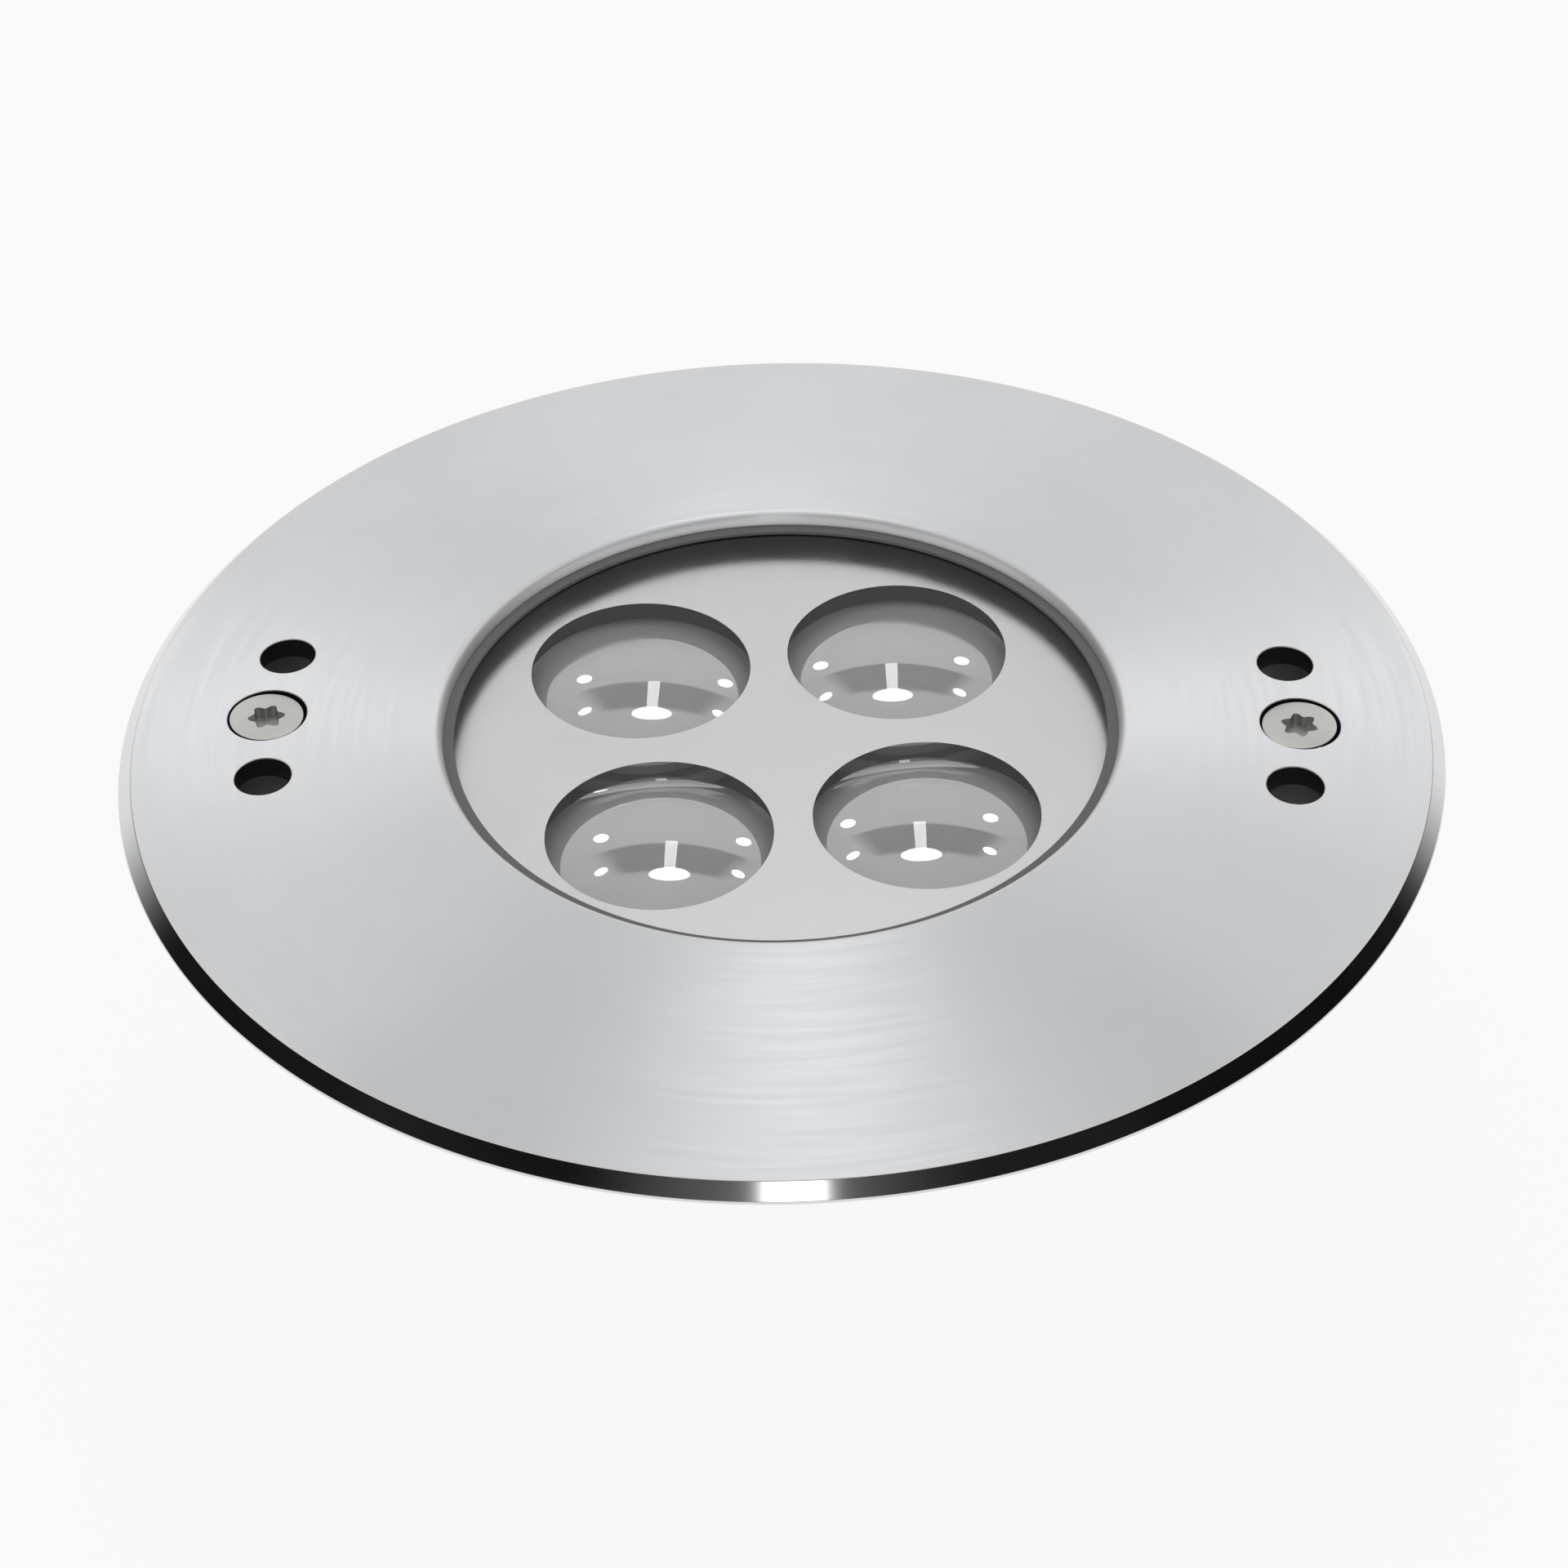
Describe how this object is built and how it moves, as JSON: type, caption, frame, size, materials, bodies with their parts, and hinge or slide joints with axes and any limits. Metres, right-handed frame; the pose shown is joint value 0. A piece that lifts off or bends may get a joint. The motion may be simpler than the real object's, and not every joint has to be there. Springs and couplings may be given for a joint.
{
  "type": "recessed underwater light",
  "caption": "Recessed underwater spotlight: round stainless bezel with bevelled rim, glass window, collimated LEDs, captive fixing screws and a sealed housing with cable gland.",
  "frame": {"origin": "centre of the niche gasket's underside, the plane in which the light is seated", "axes": "+Z out of the window, +X through the right fixing screw"},
  "size_m": [0.2, 0.2, 0.0872],
  "materials": {
    "bezel_steel": "turned, fine circular brushing",
    "fastener_steel": "plain machined stainless",
    "gasket_rubber": "matte",
    "window_glass": "clear, polished",
    "seal_silicone": "matte",
    "housing_steel": "turned, satin",
    "fixing_steel": "bead-blasted satin",
    "washer_nylon": "natural",
    "mask_paint": "matte light grey",
    "lens_acrylic": "clear, polished",
    "holder_plastic": "fine moulded grain",
    "led_ceramic": "matte",
    "led_dome": "clear over yellow phosphor",
    "led_board_white": "white solder mask",
    "connector_plastic": "moulded",
    "pad_silicone": "matte",
    "spreader_aluminium": "machined",
    "standoff_brass": "machined",
    "driver_board_green": "green solder mask",
    "ferrite": "matte",
    "capacitor_aluminium": "sleeved can",
    "terminal_plastic": "moulded",
    "chip_plastic": "moulded",
    "lead_insulation": "extruded",
    "gland_metal": "machined stainless",
    "insert_rubber": "matte"
  },
  "bodies": {
    "light": {"front_bezel": "bezel_steel", "bezel_studs": "fastener_steel", "front_gasket": "gasket_rubber", "glass_pane": "window_glass", "rear_seal": "seal_silicone", "niche_gasket": "gasket_rubber", "housing_pot": "housing_steel", "clamp_washers": "fastener_steel", "clamp_nuts": "fastener_steel", "mask_plate": "mask_paint", "lens_1": "lens_acrylic", "lens_2": "lens_acrylic", "lens_3": "lens_acrylic", "lens_4": "lens_acrylic", "lens_holder_1": "holder_plastic", "lens_holder_2": "holder_plastic", "lens_holder_3": "holder_plastic", "lens_holder_4": "holder_plastic", "led_bases": "led_ceramic", "led_domes": "led_dome", "led_board": "led_board_white", "led_board_screws": "fastener_steel", "led_connector": "connector_plastic", "thermal_pad": "pad_silicone", "heat_spreader": "spreader_aluminium", "spreader_screws": "fastener_steel", "driver_standoffs": "standoff_brass", "driver_board": "driver_board_green", "driver_screws": "fastener_steel", "driver_inductor": "ferrite", "driver_capacitors": "capacitor_aluminium", "driver_terminal": "terminal_plastic", "driver_chips": "chip_plastic", "led_leads": "lead_insulation", "gland_body": "gland_metal", "gland_seal": "gasket_rubber", "gland_locknut": "gland_metal", "gland_insert": "insert_rubber", "gland_cap_nut": "gland_metal"},
    "left_washer": {"left_captive_washer": "washer_nylon"},
    "left_screw": {"left_fixing_screw": "fixing_steel"},
    "right_washer": {"right_captive_washer": "washer_nylon"},
    "right_screw": {"right_fixing_screw": "fixing_steel"}
  },
  "joints": [
    {"name": "left_screw_lift", "type": "slide", "parent": "light", "child": "left_washer", "axis": [0, 0, 1], "range_m": [0, 0.006]},
    {"name": "left_screw_turn", "type": "hinge", "parent": "left_washer", "child": "left_screw", "pos_m": [-0.0782, 0, 0], "axis": [0, 0, 1], "continuous": true},
    {"name": "right_screw_lift", "type": "slide", "parent": "light", "child": "right_washer", "axis": [0, 0, 1], "range_m": [0, 0.006]},
    {"name": "right_screw_turn", "type": "hinge", "parent": "right_washer", "child": "right_screw", "pos_m": [0.0782, 0, 0], "axis": [0, 0, 1], "continuous": true}
  ]
}
